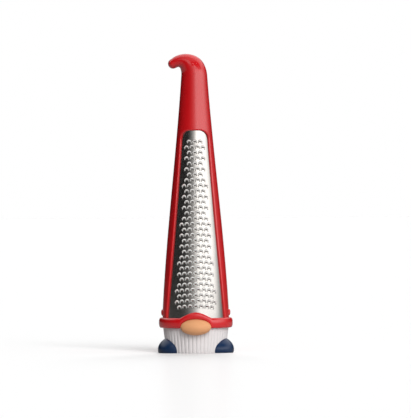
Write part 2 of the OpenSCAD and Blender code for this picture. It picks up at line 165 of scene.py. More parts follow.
# Height of the hole's rim as a share of the tooth's, and width of the throat as one of the hole's
HOLE_LEVEL = -0.1
THROAT_SHARE = 0.8
# Place of a tooth's edge between its foot and its hole, as a share, at the sides and at the top
CREST_SIDE = 0.2
CREST_TOP = 0.66
# Shares by which a tooth's foot and its hole are drawn in from a square to a circle, in the upper
# and the lower half
FOOT_ROUND = (1.0, 0.1)
HOLE_ROUND = (0.9, 0.3)
# Where the tooth starts to rise: below its middle, in halves of its length
RISE_BELOW = 1.1

# Nose and boots
NOSE_W = 26.0
NOSE_H = 13.7
NOSE_Z = RIM_Z + 0.9
NICHE_WALL = 0.7
NICHE_R = BORE_R + NICHE_WALL
NOSE_Y = BORE_R - NICHE_WALL
NOSE_ROOT = 8.0
BOOT_R = 15.0
BOOT_H = 14.4
BOOT_X = 17.3
BOOT_FORWARD = 4.8
BOOT_BEVEL = 0.8
BOOT_WAIST_SHARE = 0.2

# How far the cutters reach past what they cut
OVERRUN = 3.0
CARRIER_LOW = -2.0

# Steps of the meshes
ARC_STEPS = 6
TURN_STEPS = 128
CARRIER_STEPS = 192
RIB_STEPS = 10
CUP_STEPS = RIB_COUNT * RIB_STEPS
CUP_SIDE_STEPS = 6
BEAD_STEPS = 18
ARCH_STEPS = 72
REAR_STEPS = 90
BUTTON_STEPS = 40
DOME_STEPS = 8
NOSE_STEPS = 96
BALL_STEPS = 20
SILL_STEPS = 14
SIDE_STEPS = 44
CORNER_STEPS = 10
TOP_STEPS = 6
SKIN_STEPS = 8
HOOK_STEPS = 3
# Lattice of the plate: steps over one tooth each way, columns on each side of the middle, and lines
# at the plate's head and foot
CELL = 8
FIELD_COLUMNS = 56
END_LINES = 6
# Rings of a tooth: its foot at 0, its edge at 1 and the rim of its hole at 2
TOOTH_STEPS = [0, 0.25, 0.5, 0.75, 1, 1.2, 1.45, 1.7, 2]
# Rings of its throat, as shares of the throat's depth
THROAT_STEPS = (0.5, 1.0)
# Radius that stands for the axis, where a turned solid closes
AXIS_R = 0.001

# Points nearer than this are welded, and edges shorter than this are taken out
WELD = 0.002
SLIVER = 0.001
# Angle between two faces above which the edge stays sharp: on the hat, the plate and the rest
SHARP_HAT, SHARP_PLATE, SHARP_ROUND = 32, 35, 40


# Points and shares

def cos_sin(angle):
    a = math.radians(angle)
    return math.cos(a), math.sin(a)


def around(r, angle, z):
    """Point at a radius and height, at an angle from the front towards +X."""
    c, s = cos_sin(angle)
    return (r * s, -r * c, z)


def spread(low, high, count):
    """count + 1 values from low to high."""
    return [low + (high - low) * i / count for i in range(count + 1)]


def full_turn(count):
    """Angles of a full turn, without the first one again at its end."""
    return [360 * i / count for i in range(count)]


def mix(a, b, t):
    return a + (b - a) * t


def smooth_step(t):
    t = min(max(t, 0.0), 1.0)
    return t * t * (3 - 2 * t)


def ease(t, a, b, da, db):
    """Value on a smooth curve from a to b that starts and ends with the slopes da and db."""
    return ((2 * t**3 - 3 * t**2 + 1) * a + (t**3 - 2 * t**2 + t) * da
            + (3 * t**2 - 2 * t**3) * b + (t**3 - t**2) * db)


# Mesh tools

class Builder:
    """Collects rows of points, in millimetres, and the faces between them."""

    def __init__(self):
        self.points = []
        self.faces = []

    def row(self, points):
        """Adds points and gives their numbers."""
        start = len(self.points)
        self.points.extend(points)
        return list(range(start, len(self.points)))

    def join(self, a, b, closed=False):
        """Quads between two rows with as many points each."""
        count = len(a) if closed else len(a) - 1
        for i in range(count):
            j = (i + 1) % len(a)
            self.faces.append((a[i], a[j], b[j], b[i]))

    def skin(self, rows, closed=False):
        """Rows of points with quads from each to the next."""
        made = [self.row(r) for r in rows]
        for a, b in zip(made, made[1:]):
            self.join(a, b, closed)
        return made

    def fan(self, row, centre, closed=False):
        """Triangles from a row to one point."""
        hub = self.row([centre])[0]
        count = len(row) if closed else len(row) - 1
        for i in range(count):
            self.faces.append((row[i], row[(i + 1) % len(row)], hub))

    def mesh(self, name, fill_plane=False):
        """The collected faces as a welded mesh with outward normals."""
        mesh = bpy.data.meshes.new(name)
        mesh.from_pydata([Vector(p) * MM for p in self.points], [], self.faces)
        bm = bmesh.new()
        bm.from_mesh(mesh)
        bmesh.ops.remove_doubles(bm, verts=bm.verts, dist=WELD * MM)
        bmesh.ops.dissolve_degenerate(bm, edges=bm.edges, dist=SLIVER * MM)
        if fill_plane:
            open_edges = [e for e in bm.edges if e.is_boundary]
            bmesh.ops.triangle_fill(bm, edges=open_edges, use_beauty=True)
        bmesh.ops.recalc_face_normals(bm, faces=bm.faces)
        bm.to_mesh(mesh)
        bm.free()
        return mesh


def soften(mesh, limit):
    """Smooth shading, with a crease at every edge that is sharper than the limit."""
    bm = bmesh.new()
    bm.from_mesh(mesh)
    for face in bm.faces:
        face.smooth = True
    for edge in bm.edges:
        edge.smooth = len(edge.link_faces) == 2 and edge.calc_face_angle() < math.radians(limit)
    bm.to_mesh(mesh)
    bm.free()


def loose_object(name, mesh):
    """An object in the scene that no body carries yet."""
    obj = bpy.data.objects.new(name, mesh)
    bpy.context.scene.collection.objects.link(obj)
    return obj


def evaluated(obj):
    """Mesh of an object with its modifiers applied."""
    bpy.context.view_layer.update()
    graph = bpy.context.evaluated_depsgraph_get()
    return bpy.data.meshes.new_from_object(obj.evaluated_get(graph))


def carve(mesh, cutter):
    """A mesh without the part that lies in another."""
    body = loose_object("carved", mesh)
    tool = loose_object("cutter", cutter)
    change = body.modifiers.new("cut", "BOOLEAN")
    change.operation = "DIFFERENCE"
    change.solver = "EXACT"
    change.object = tool
    result = evaluated(body)
    bpy.data.objects.remove(body)
    bpy.data.objects.remove(tool)
    return result


def joined(meshes):
    """Several closed meshes as one."""
    bm = bmesh.new()
    for mesh in meshes:
        bm.from_mesh(mesh)
    result = bpy.data.meshes.new("joined")
    bm.to_mesh(result)
    bm.free()
    return result


def box_mesh(low, high):
    b = Builder()
    corners = [[(x, y, z) for x, y in ((low[0], low[1]), (high[0], low[1]),
                                       (high[0], high[1]), (low[0], high[1]))]
               for z in (low[2], high[2])]
    bottom, top = b.skin(corners, closed=True)
    b.faces.append(tuple(bottom[::-1]))
    b.faces.append(tuple(top))
    return b.mesh("box")


def lathe(profile, segments):
    """Solid turned about Z from a profile of radius and height that starts and ends at AXIS_R."""
    b = Builder()
    angles = full_turn(segments)
    rows = b.skin([[around(r, a, z) for a in angles] for r, z in profile], closed=True)
    b.join(rows[-1], rows[0], closed=True)
    return b.mesh("lathe")


def piece(name, mesh, material, node, body, limit=SHARP_ROUND):
    """A shown piece that stands for a CAD node and rides on its body."""
    soften(mesh, limit)
    mesh.name = name
    mesh.materials.clear()
    mesh.materials.append(material)
    obj = loose_object(name, mesh)
    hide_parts(node)
    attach(obj, body)
    return obj


# Node tools

class Graph:
    """Nodes of a material or a world. A value is a plain one or the output of another node."""

    def __init__(self, owner):
        owner.use_nodes = True
        self.nodes = owner.node_tree.nodes
        self.links = owner.node_tree.links
        self.nodes.clear()

    def put(self, socket, value):
        """Sets a socket to a plain value, or links it to an output."""
        if isinstance(value, bpy.types.NodeSocket):
            self.links.new(value, socket)
        else:
            socket.default_value = value

    def add(self, kind, inputs, **settings):
        """A new node with its settings, and with values for inputs by their name or number."""
        node = self.nodes.new(kind)
        for name, value in settings.items():
            setattr(node, name, value)
        for key, value in inputs.items():
            self.put(node.inputs[key], value)
        return node

    def calc(self, operation, a, b=None):
        """Result of an operation on one or two values."""
        inputs = {0: a} if b is None else {0: a, 1: b}
        return self.add("ShaderNodeMath", inputs, operation=operation).outputs[0]

    def ranged(self, value, low, high, to_low=0.0, to_high=1.0, curve="LINEAR"):
        """A value between low and high, spread from to_low to to_high."""
        inputs = {"From Min": low, "From Max": high, "To Min": to_low, "To Max": to_high,
                  "Value": value}
        return self.add("ShaderNodeMapRange", inputs, interpolation_type=curve).outputs["Result"]

    def rising(self, value, at, edge):
        """0 below a value and 1 above it, with a soft edge to each side."""
        return self.ranged(value, at - edge, at + edge, curve="SMOOTHSTEP")

    def ramp(self, azimuth, stops):
        """Straight lines between stops of azimuth and strength."""
        peak = max(strength for _, strength in stops)
        share = self.calc("ADD", self.calc("DIVIDE", azimuth, 360.0), 0.5)
        node = self.add("ShaderNodeValToRGB", {"Fac": share})
        elements = node.color_ramp.elements
        while len(elements) < len(stops):
            elements.new(0.5)
        for element, (at, strength) in zip(elements, stops):
            element.position = (at + 180) / 360
            element.color = (*[strength / peak] * 3, 1)
        return self.calc("MULTIPLY", node.outputs["Color"], peak)

    def noise(self, scale, detail=4.0, stretch=(1, 1, 1)):
        """Noise fixed to the object, at a scale in features per metre."""
        place = self.add("ShaderNodeTexCoord", {}).outputs["Object"]
        size = self.add("ShaderNodeMapping", {"Scale": stretch, "Vector": place})
        inputs = {"Scale": scale, "Detail": detail, "Vector": size.outputs["Vector"]}
        return self.add("ShaderNodeTexNoise", inputs).outputs["Fac"]

    def varied(self, noise, low, high):
        """The middle of a noise's values, spread from low to high."""
        return self.ranged(noise, NOISE_LOW, NOISE_HIGH, low, high)

    def tinted(self, noise, dark, light):
        """A colour between two by a noise."""
        inputs = {"A": (*dark, 1), "B": (*light, 1), "Factor": self.varied(noise, 0, 1)}
        return self.add("ShaderNodeMix", inputs, data_type="RGBA").outputs["Result"]

    def seen_ray(self):
        """Whether a ray comes from the camera, and whether from the camera, gloss or glass."""
        path = self.add("ShaderNodeLightPath", {})
        camera = path.outputs["Is Camera Ray"]
        first = self.calc("MAXIMUM", camera, path.outputs["Is Glossy Ray"])
        return camera, self.calc("MAXIMUM", first, path.outputs["Is Transmission Ray"])


# Plastics: darker and lighter colour, roughness, strength of the grain and level of gloss
PLASTICS = {
    "red": ((0.56, 0.006, 0.009), (0.6, 0.007, 0.011), 0.19, 0.02, 0.9),
    "white": ((0.66, 0.63, 0.63), (0.705, 0.67, 0.67), 0.5, 0.1, 0.5),
    "skin": ((0.655, 0.31, 0.14), (0.715, 0.345, 0.16), 0.55, 0.1, 0.5),
    "navy": ((0.005, 0.020, 0.058), (0.007, 0.024, 0.072), 0.3, 0.03, 0.45),
}
# Steels: darker and lighter colour, roughness and share of metal; the pale, matt one on the teeth
# is a painted highlight, which stands in for the light that their domes reflect
STEELS = {
    "rolled": ((0.575, 0.55, 0.522), (0.635, 0.608, 0.577), 0.18, 1.0),
    "painted_highlight": ((0.92, 0.905, 0.89), (0.95, 0.935, 0.92), 0.24, 0.25),
}
# Values of a noise between which a colour or a roughness changes
NOISE_LOW, NOISE_HIGH = 0.3, 0.7
# Features per metre of the noises: clouds, wear and grain of plastic, stains and grain of steel
CLOUDS, WEAR, GRAIN, STAINS, STEEL_GRAIN = 35, 140, 2600, 60, 900
# Stretch and strength of the steel's grain, which runs along the sheet
ROLLED_STRETCH = (6, 6, 0.25)
STEEL_BUMP = 0.05
# Depth of the grain of every material
BUMP_DEPTH = 0.02
# Change of the roughness of plastic by wear, down and up, and of steel by its grain
WORN_LOW, WORN_HIGH, STEEL_WORN = 0.02, 0.03, 0.06


def new_surface(name):
    """A new material, its nodes and the shader that reaches its output."""
    material = bpy.data.materials.new(name)
    graph = Graph(material)
    shader = graph.add("ShaderNodeBsdfPrincipled", {})
    graph.add("ShaderNodeOutputMaterial", {"Surface": shader.outputs["BSDF"]})
    return material, graph, shader


def add_bump(graph, shader, noise, strength):
    inputs = {"Strength": strength, "Distance": BUMP_DEPTH * MM, "Height": noise}
    graph.put(shader.inputs["Normal"], graph.add("ShaderNodeBump", inputs).outputs["Normal"])


def moulded_plastic(name, dark, light, rough, grain, gloss):
    """Moulded plastic with faint clouding, a fine mould texture and a little wear in its gloss."""
    material, graph, shader = new_surface(name)
    wear = graph.varied(graph.noise(WEAR), rough - WORN_LOW, rough + WORN_HIGH)
    graph.put(shader.inputs["Base Color"], graph.tinted(graph.noise(CLOUDS), dark, light))
    graph.put(shader.inputs["Roughness"], wear)
    graph.put(shader.inputs["Specular IOR Level"], gloss)
    add_bump(graph, shader, graph.noise(GRAIN, detail=3), grain)
    return material


def rolled_steel(name, dark, light, rough, metal):
    """Stainless sheet with the fine grain of rolling along its length."""
    material, graph, shader = new_surface(name)
    grain = graph.noise(STEEL_GRAIN, detail=6, stretch=ROLLED_STRETCH)
    graph.put(shader.inputs["Base Color"], graph.tinted(graph.noise(STAINS), dark, light))
    graph.put(shader.inputs["Roughness"], graph.varied(grain, rough, rough + STEEL_WORN))
    graph.put(shader.inputs["Metallic"], metal)
    add_bump(graph, shader, grain, STEEL_BUMP)
    return material


# Hat

def hat_r(z):
    return ease((z - FOOT_Z) / HAT_H, FOOT_R, CROWN_R, -FOOT_TAPER * HAT_H, -CROWN_TAPER * HAT_H)


def seat_angle(length, z):
    """Angle of a length round the plate's seat."""
    return math.degrees(length / (hat_r(z) - LIP_T))


def window_angle(z):
    """Half angle of the window at a height below its corners."""
    t = (z - SILL_Z) / (CORNER_Z - SILL_Z)
    return SILL_ANGLE + (HEAD_ANGLE - SILL_ANGLE) * t - 4 * WAIST_ANGLE * t * (1 - t)


def window_right():
    """Right half of the window from the sill's middle to the head's: angle, height and growth."""
    sill = [(a, SILL_Z, 0, -1) for a in spread(0, SILL_ANGLE, SILL_STEPS)[:-1]]
    side = [(window_angle(z), z, 1, -1 if i == 0 else 0)
            for i, z in enumerate(spread(SILL_Z, CORNER_Z, SIDE_STEPS)[:-1])]
    corner = []
    for a in spread(0, 90, CORNER_STEPS):
        c, s = cos_sin(a)
        corner.append((HEAD_ANGLE - seat_angle(CORNER_W, CORNER_Z) * (1 - c),
                       CORNER_Z + CORNER_H * s, c, s))
    flat = corner[-1][0]
    head = [(a, HEAD_Z, 0, 1) for a in spread(flat, 0, TOP_STEPS)[1:]]
    return sill + side + corner + head


def shell_right():
    """Points on the front shell's edge that go with those of window_right: angle and height."""
    foot = [(a, FOOT_Z) for a in spread(0, 90, SILL_STEPS)[:-1]]
    side = [(90, z) for z in spread(FOOT_Z, BEND_Z, SIDE_STEPS)[:-1]]
    crown = [(a, BEND_Z) for a in spread(90, 0, CORNER_STEPS + TOP_STEPS)]
    return foot + side + crown


def mirrored(points, flips):
    """A half loop and its mirror image, without the two middle points twice."""
    other = [tuple(-v if f else v for v, f in zip(p, flips)) for p in points[-2:0:-1]]
    return points + other


def skin_point(window, edge, t, growth, depth, top):
    """Point of the front shell at a share t of the way from its outer edge to the grown window."""
    angle, z, across, up = window
    angle, z = angle + seat_angle(growth * across, z), z + growth * up
    edge_angle, edge_z = edge
    height = mix(min(edge_z, top), z, t)
    return around(hat_r(height) - depth, mix(edge_angle, angle, t), height)


def front_rows():
    """Rows of points from the front shell's outer edge, over the window's lip, to its inner edge."""
    border = BORDER_W + SEAT_GAP * 2
    # Way to the window, growth of the window, depth under the skin and top of the shell
    places = [(t, EDGE_W, 0, BEND_Z) for t in spread(0, 1, SKIN_STEPS)]
    for a in spread(0, 90, ARC_STEPS)[1:]:
        c, s = cos_sin(a)
        places.append((1, EDGE_W * (1 - s), EDGE_T * (1 - c), BEND_Z))
    places += [(1, 0, LIP_T, BEND_Z), (1, border, LIP_T, BEND_Z)]
    places += [(t, border, HAT_WALL, BEND_Z - HAT_WALL) for t in spread(1, 0, SKIN_STEPS)]
    window = mirrored(window_right(), (1, 0, 1, 0))
    edge = mirrored(shell_right(), (1, 0))
    return [[skin_point(w, e, *place) for w, e in zip(window, edge)] for place in places], edge


def hook_rings():
    """Outer and inner point of each ring of the bent tip, on a smooth curve through HOOK."""
    below = [(hat_r(z), z - CROWN_Z, -hat_r(z), z - CROWN_Z) for z in (BEND_Z - HOOK_LEAD, BEND_Z)]
    stops = below + HOOK + HOOK[-1:]
    rings = []
    for before, start, end, after in zip(stops, stops[1:], stops[2:], stops[3:]):
        for t in spread(0, 1, HOOK_STEPS)[1:]:
            rings.append([ease(t, s, e, (e - b) / 2, (a - s) / 2)
                          for b, s, e, a in zip(before, start, end, after)])
    return rings


def tip_ring(place, angles, size=1.0, ahead=0.0):
    """Ring of the bent tip over the given angles, drawn in to a size and moved ahead."""
    outer_x, outer_z, inner_x, inner_z = place
    x, z = (outer_x + inner_x) / 2, (outer_z + inner_z) / 2
    across, up = (outer_x - inner_x) / 2, (outer_z - inner_z) / 2
    r = math.hypot(across, up)
    row = []
    for a in angles:
        c, s = cos_sin(a)
        side = size * s
        row.append((x + across * side - up * ahead, -r * size * c,
                    CROWN_Z + z + up * side + across * ahead))
    return row


def tip_rows(angles):
    """Rows of the bent tip from above the bend to its round end, and the point of that end."""
    places = hook_rings()
    rows = [tip_ring(place, angles) for place in places]
    rows += [tip_ring(places[-1], angles, *cos_sin(a)) for a in spread(0, 90, ARC_STEPS)[1:-1]]
    return rows, tip_ring(places[-1], angles, 0, 1)[0]


def cap_hat(b, outer_top, inner_top, angles):
    """Adds the bent tip above a half shell's outer top row, and the ceiling in its inner one."""
    rows, end = tip_rows(angles)
    below = outer_top
    for r in rows:
        row = b.row(r)
        b.join(below, row)
        below = row
    b.fan(below, end)
    b.fan(inner_top, (0, 0, BEND_Z - HAT_WALL))


def latch_recess(mesh):
    """Cuts the spaces for the latch tongues into the sides of a half hat."""
    near, far = TONGUE_FACE_R - TONGUE_T - RECESS_GAP, FOOT_R + OVERRUN
    half = TONGUE_W / 2 + RECESS_GAP
    for side in (-1, 1):
        low_x, high_x = sorted((side * near, side * far))
        mesh = carve(mesh, box_mesh((low_x, -half, FOOT_Z - OVERRUN),
                                    (high_x, half, TONGUE_TOP_Z + RECESS_GAP)))
    return mesh


def hat_front(material):
    """Front half of the hat, with the window, its lip and the front half of the tip."""
    b = Builder()
    rows, edge = front_rows()
    made = b.skin(rows, closed=True)
    outer, inner = made[0], made[-1]
    for i, (_, z) in enumerate(edge):
        j = (i + 1) % len(edge)
        if z == FOOT_Z and edge[j][1] == FOOT_Z:
            b.faces.append((outer[i], outer[j], inner[j], inner[i]))
    crown = sorted((i for i, (_, z) in enumerate(edge) if z == BEND_Z), key=lambda i: -edge[i][0])
    cap_hat(b, [outer[i] for i in crown], [inner[i] for i in crown], [edge[i][0] for i in crown])
    mesh = latch_recess(b.mesh("hat_front", fill_plane=True))
    return piece("hat_front_shell", mesh, material, "hat_front", "hat", SHARP_HAT)


def hat_rear(material):
    """Plain rear half of the hat, with the rear half of the tip."""
    b = Builder()
    angles = spread(90, 270, 2 * (CORNER_STEPS + TOP_STEPS))
    outer = b.skin([[around(hat_r(z), a, z) for a in angles]
                    for z in spread(FOOT_Z, BEND_Z, SIDE_STEPS)])
    inner = b.skin([[around(hat_r(z) - HAT_WALL, a, z) for a in angles]
                    for z in spread(FOOT_Z, BEND_Z - HAT_WALL, SIDE_STEPS)])
    b.join(outer[0], inner[0])
    cap_hat(b, outer[-1], inner[-1], angles)
    mesh = latch_recess(b.mesh("hat_rear", fill_plane=True))
    return piece("hat_rear_shell", mesh, material, "hat_rear", "hat", SHARP_HAT)


# Grating plate

def row_z(k):
    """Height of a row of teeth, counted from the head of the window."""
    return HEAD_Z - ROW_START - k * ROW_PITCH


def row_teeth(k):
    """Teeth in a row, odd and even in turn so that the rows are staggered."""
    width = mix(FIELD_HEAD_W, FIELD_FOOT_W, k / (ROW_COUNT - 1))
    most = int(width / TOOTH_PITCH) + 1
    return most - (most + k + 1) % 2


def plate_edge(z):
    """Half angle that the plate covers at a height."""
    if z <= CORNER_Z:
        return window_angle(z) + seat_angle(BORDER_W, z)
    up = min((z - CORNER_Z) / (CORNER_H + BORDER_W), 1)
    flat = HEAD_ANGLE - seat_angle(CORNER_W, CORNER_Z)
    return flat + seat_angle(CORNER_W + BORDER_W, z) * math.sqrt(1 - up * up)


def field_share(v):
    """1 in the field of teeth, falling to 0 at the plate's ends."""
    top = (PLATE_HIGH - v) / (PLATE_HIGH - row_z(0) - ROW_PITCH / 2)
    bottom = (v - PLATE_LOW) / (row_z(ROW_COUNT - 1) - ROW_PITCH / 2 - PLATE_LOW)
    return min(1, max(0, top), max(0, bottom))


def plate_point(angle, v, rise=0.0):
    """Point over the plate at an angle and a row height; rows drop towards the plate's sides."""
    drop = ROW_SLOPE * (hat_r(v) - LIP_T) * (1 - cos_sin(angle)[0]) * field_share(v)
    z = v - drop
    return around(hat_r(z) - LIP_T - SEAT_GAP + rise, angle, z)


def lattice_angle(j, v):
    """Angle of a column of the lattice, no farther out than the plate's edge."""
    edge = plate_edge(v)
    return max(-edge, min(edge, seat_angle(j * TOOTH_PITCH / CELL, v)))


def squircle(u, v, above, below):
    """Point of the square u, v from -1 to 1, drawn in towards a circle by a share each way."""
    k = above if v > 0 else below
    return u * math.sqrt(1 - k * v * v / 2), v * math.sqrt(1 - k * u * u / 2)


def tooth_square():
    """Edge of the square from -1 to 1, in the same order as the lattice round a cell."""
    steps, back = spread(-1, 1, CELL)[:-1], spread(1, -1, CELL)[:-1]
    return [(x, 1) for x in steps] + [(1, y) for y in back] + [(x, -1) for x in back] + [
        (-1, y) for y in steps]


def tooth_height(step):
    """Height of a tooth as a share: it swells up to its edge and is scooped out towards its hole."""
    if step <= 1:
        return step
    return mix(1, HOLE_LEVEL, math.sin(math.pi / 2 * (step - 1)))


def tooth_place(u, v, step, throat):
    """Place of a ring's point on the flat sheet, across and along from the tooth's middle."""
    foot_x, foot_y = squircle(u, v, *FOOT_ROUND)
    hole_x, hole_y = squircle(u, v, *HOLE_ROUND)
    crest = mix(CREST_SIDE, CREST_TOP, max(foot_y, 0) ** 2)
    inward = crest * step if step <= 1 else mix(crest, 1, step - 1)
    return (mix(foot_x * TOOTH_W / 2, hole_x * HOLE_W / 2 * throat, inward),
            mix(foot_y * TOOTH_L / 2, hole_y * HOLE_L / 2 * throat + HOLE_PLACE, inward))


def tooth_ring(k, middle, step, throat=1.0, depth=0.0):
    """One ring of a tooth; its legs sink into the sheet towards the open mouth below."""
    v0 = row_z(k)
    c, s = cos_sin(math.degrees(math.atan(ROW_SLOPE * cos_sin(middle)[1])))
    fall = ROW_SLOPE * (hat_r(v0) - LIP_T)
    ring = []
    for u, v in tooth_square():
        x, y = tooth_place(u, v, step, throat)
        share = tooth_height(step) * smooth_step((v + RISE_BELOW) / (1 + RISE_BELOW))
        angle = middle + seat_angle(x * c + y * s, v0)
        shear = fall * (cos_sin(middle)[0] - cos_sin(angle)[0])
        ring.append(plate_point(angle, v0 + y * c - x * s + shear, TOOTH_H * share - depth))
    return ring


def tooth_rings(k, middle):
    """Rings of a tooth from its foot over its edge and down into its throat."""
    rings = [tooth_ring(k, middle, step) for step in TOOTH_STEPS]
    for share in THROAT_STEPS:
        rings.append(tooth_ring(k, middle, 2, mix(1, THROAT_SHARE, share), THROAT_DEPTH * share))
    return rings


def plate_lines():
    """Heights of the lattice's rows of points, from the plate's head to its foot."""
    first = row_z(0) + ROW_PITCH / 2
    last = row_z(ROW_COUNT - 1) - ROW_PITCH / 2
    field = spread(first, last, ROW_COUNT * CELL)
    return spread(PLATE_HIGH, first, END_LINES)[:-1] + field + spread(last, PLATE_LOW, END_LINES)[1:]


def cell_edge(rows, line, column):
    """Lattice points round the cell of a tooth, from its upper left corner."""
    steps = range(CELL)
    return ([rows[line][column + n] for n in steps]
            + [rows[line + n][column + CELL] for n in steps]
            + [rows[line + CELL][column + CELL - n] for n in steps]
            + [rows[line + CELL - n][column] for n in steps])


def add_tooth(b, edge, k, middle):
    """Fills a cell with the rings of its tooth."""
    below = edge
    for ring in tooth_rings(k, middle):
        above = b.row(ring)
        b.join(below, above, closed=True)
        below = above


def plate_lattice(b):
    """Lattice of plain sheet with a cell left open for every tooth, which then gets its rings."""
    columns = range(-FIELD_COLUMNS, FIELD_COLUMNS + 1)
    rows = [b.row([plate_point(lattice_angle(j, v), v) for j in columns]) for v in plate_lines()]
    taken = set()
    for k in range(ROW_COUNT):
        teeth, line = row_teeth(k), END_LINES + k * CELL
        for i in range(teeth):
            column = CELL * i - CELL * teeth // 2 + FIELD_COLUMNS
            taken.update((line + m, column + n) for m in range(CELL) for n in range(CELL))
            middle = seat_angle((i - (teeth - 1) / 2) * TOOTH_PITCH, row_z(k))
            add_tooth(b, cell_edge(rows, line, column), k, middle)
    for i, (upper, lower) in enumerate(zip(rows, rows[1:])):
        for j in range(2 * FIELD_COLUMNS):
            if (i, j) not in taken:
                b.faces.append((upper[j], upper[j + 1], lower[j + 1], lower[j]))


def face_outwards(mesh):
    """Turns the open sheet's faces outwards, if they face the axis."""
    bm = bmesh.new()
    bm.from_mesh(mesh)
    bm.faces.ensure_lookup_table()
    middle = bm.faces[len(bm.faces) // 2]
    if middle.normal.dot(middle.calc_center_median().xy.to_3d()) < 0:
        bmesh.ops.reverse_faces(bm, faces=bm.faces)
    bm.to_mesh(mesh)
    bm.free()


def thickened(mesh):
    """The open sheet with its thickness added inwards."""
    sheet = loose_object("sheet", mesh)
    thick = sheet.modifiers.new("thickness", "SOLIDIFY")
    thick.thickness = PLATE_T * MM
    thick.offset = -1
    thick.use_even_offset = False
    solid = evaluated(sheet)
    bpy.data.objects.remove(sheet)
    return solid


def gets_painted_highlight(face):
    """Whether a face belongs to a raised tooth, and so gets the pale steel of the painted highlight.
    """
    x, y, z = face.center / MM
    return math.hypot(x, y) > hat_r(z) - LIP_T - SEAT_GAP + TOOTH_FOOT


def grater_plate(sheet_steel, highlight_steel):
    """Curved sheet with its rows of teeth, whose raised faces get a pale steel as a painted
    highlight.
    """
    b = Builder()
    plate_lattice(b)
    mesh = b.mesh("grater_plate")
    face_outwards(mesh)
    plate = piece("toothed_plate", thickened(mesh), sheet_steel, "grater_plate", "hat",
                  SHARP_PLATE)
    # Raised tooth faces get the pale steel, a painted highlight
    plate.data.materials.append(highlight_steel)
    for face in plate.data.polygons:
        face.material_index = int(gets_painted_highlight(face))
    return plate


# Cup

# From the cup's foot up: inset and height as shares of the bevel, and share of the ribs' depth
CUP_FOOT_SHARES = [(1.0, 0.0, 0.0), (0.3, 0.3, 0.6), (0.0, 1.0, 1.0)]
# At the rim: inset as a share of the bevel, and share of the ribs' depth
CUP_RIM_SHARES = (0.6, 0.8)


def cup_r(z):
    return mix(CUP_FOOT_R, CUP_RIM_R, z / RIM_Z)


def cup_outline():
    """Inset, height and share of the ribs' depth, from the cup's foot to its rim."""
    foot = [(CUP_BEVEL * inset, CUP_BEVEL * up, share) for inset, up, share in CUP_FOOT_SHARES]
    side = [(0.0, z, 1.0) for z in spread(CUP_BEVEL, RIM_Z - CUP_BEVEL, CUP_SIDE_STEPS)[1:]]
    inset, share = CUP_RIM_SHARES
    return foot + side + [(CUP_BEVEL * inset, RIM_Z, share)]


def ribbed_row(inset, z, share):
    """Ring of round beads with narrow grooves between them."""
    row = []
    for i in range(CUP_STEPS):
        across = 2 * abs((i % RIB_STEPS) / RIB_STEPS - 0.5)
        r = cup_r(z) - inset - RIB_DEPTH * share * across ** RIB_POWER
        row.append(around(r, 360 * i / CUP_STEPS, z))
    return row


def cup_inside():
    """Radius and height along the cup's plain inside, from its rim to the middle of its floor."""
    rim_r, floor_r = cup_r(RIM_Z) - CUP_WALL, cup_r(CUP_FLOOR) - CUP_WALL
    return [(rim_r + CUP_LIP_W, RIM_Z), (rim_r, RIM_Z - CUP_LIP_H),
            (cup_r(CUP_MIDDLE_Z) - CUP_WALL, CUP_MIDDLE_Z), (floor_r, CUP_FLOOR + CUP_FILLET),
            (floor_r - CUP_FILLET, CUP_FLOOR), (CUP_HUB_R, CUP_FLOOR)]


def beard_cup(material):
    """Cup with a ribbed outside, a plain inside and a floor."""
    b = Builder()
    angles = full_turn(CUP_STEPS)
    outside = b.skin([ribbed_row(*place) for place in cup_outline()], closed=True)
    inside = b.skin([[around(r, a, z) for a in angles] for r, z in cup_inside()], closed=True)
    b.join(outside[-1], inside[0], closed=True)
    b.fan(inside[-1], (0, 0, CUP_FLOOR), closed=True)
    b.fan(outside[0], (0, 0, 0), closed=True)
    return piece("ribbed_cup", b.mesh("cup"), material, "beard_cup", "base")


# Collar

def arch(angle):
    """Rise of the collar's top edge at an angle from the front."""
    if abs(angle) >= ARCH_ANGLE:
        return 0.0
    share = cos_sin(angle)[1] / cos_sin(ARCH_ANGLE)[1]
    return ARCH_RISE * math.cos(math.pi / 2 * share) ** ARCH_POWER


def nose_top(angle):
    """Height of the nose's outline where the collar arches over it, or the cup's rim beside it."""
    share = COLLAR_R * cos_sin(angle)[1] / (NOSE_W / 2 + FIT_GAP)
    if abs(share) >= 1 or abs(angle) > 90:
        return RIM_Z
    return NOSE_Z + (NOSE_H / 2 + FIT_GAP) * math.sqrt(1 - share * share)


def bead(low, top, back):
    """Round outside of the collar between two heights, from the radius of its back outwards."""
    half = (top - low) / 2
    points = []
    for a in spread(-90, 90, BEAD_STEPS)[1:-1]:
        c, s = cos_sin(a)
        points.append((back + (COLLAR_R - back) * c ** BEAD_POWER,
                       low + half + half * math.copysign(abs(s) ** BEAD_POWER, s)))
    return points


def collar_section(angle):
    """Closed section of the collar: sleeve, ledge, niche wall behind the nose and round bead."""
    top = RIM_Z + COLLAR_H + arch(angle)
    low = nose_top(angle)
    back = NICHE_R if low > RIM_Z else BORE_R + COLLAR_GAP
    foot_z = RIM_Z - SLEEVE_H
    sleeve = cup_r(foot_z) - CUP_WALL - FIT_GAP
    flange = cup_r(RIM_Z) - CUP_WALL - FIT_GAP
    section = [(MOUTH_R, foot_z), (sleeve, foot_z), (flange, RIM_Z), (back, RIM_Z), (back, low)]
    section += bead(low, top, back)
    section += [(BORE_R + COLLAR_GAP, top), (BORE_R, top - COLLAR_GAP), (BORE_R, FOOT_Z),
                (MOUTH_R, FOOT_Z)]
    return section


